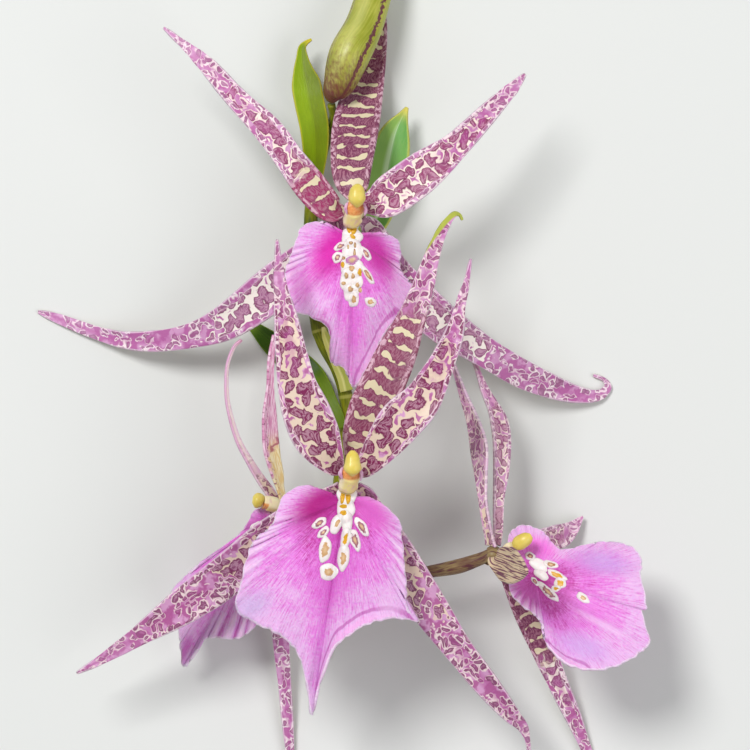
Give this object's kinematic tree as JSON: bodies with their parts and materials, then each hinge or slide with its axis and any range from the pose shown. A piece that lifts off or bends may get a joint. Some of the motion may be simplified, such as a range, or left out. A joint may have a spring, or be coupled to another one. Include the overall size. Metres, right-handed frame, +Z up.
{
  "type": "cambria orchid",
  "caption": "Cut flowering spray of a cambria orchid with spotted star-shaped blooms, broad magenta lips, a bud and green bracts, lying on its back.",
  "frame": {"origin": "middle of the footprint, on the surface that the spray lies on", "axes": "+Y along the stem towards the bud, +Z up, the way the front blooms look"},
  "size_m": [0.1506, 0.2194, 0.0591],
  "materials": {
    "petals_and_sepals": "waxy, blotched maroon on cream with magenta margins",
    "lips": "satin, magenta at the throat to pale lilac at the edge",
    "crests": "waxy white and cream with brown and gold marks",
    "columns": "waxy cream with an orange-brown stigma",
    "anther_caps": "smooth, pale yellow",
    "pedicels": "satin, green-brown with purple streaks",
    "stem": "satin, brown-green",
    "sheath": "papery, pale yellow-green",
    "bracts_and_leaves": "satin, bright green with a yellow tip",
    "bud": "waxy, pale yellow-green with a maroon flush"
  },
  "bodies": {
    "root": {"left_anther_cap": "anther_caps", "left_column": "columns", "left_crest": "crests", "left_dorsal_sepal": "petals_and_sepals", "left_far_petal": "petals_and_sepals", "left_lip": "lips", "left_lower_sepal": "petals_and_sepals", "left_near_sepal": "petals_and_sepals", "left_pedicel": "pedicels", "left_right_petal": "petals_and_sepals", "lower_leaf": "bracts_and_leaves", "main_bud": "bud", "middle_anther_cap": "anther_caps", "middle_column": "columns", "middle_crest": "crests", "middle_dorsal_sepal": "petals_and_sepals", "middle_left_petal": "petals_and_sepals", "middle_left_sepal": "petals_and_sepals", "middle_lip": "lips", "middle_pedicel": "pedicels", "middle_right_petal": "petals_and_sepals", "middle_right_sepal": "petals_and_sepals", "right_anther_cap": "anther_caps", "right_column": "columns", "right_crest": "crests", "right_dorsal_sepal": "petals_and_sepals", "right_far_petal": "petals_and_sepals", "right_left_petal": "petals_and_sepals", "right_lip": "lips", "right_lower_sepal": "petals_and_sepals", "right_near_sepal": "petals_and_sepals", "right_pedicel": "pedicels", "sheath_bract": "sheath", "stem": "stem", "upper_anther_cap": "anther_caps", "upper_bract": "bracts_and_leaves", "upper_column": "columns", "upper_crest": "crests", "upper_dorsal_sepal": "petals_and_sepals", "upper_leaf": "bracts_and_leaves", "upper_left_petal": "petals_and_sepals", "upper_left_sepal": "petals_and_sepals", "upper_lip": "lips", "upper_pedicel": "pedicels", "upper_right_petal": "petals_and_sepals", "upper_right_sepal": "petals_and_sepals"}
  },
  "joints": []
}
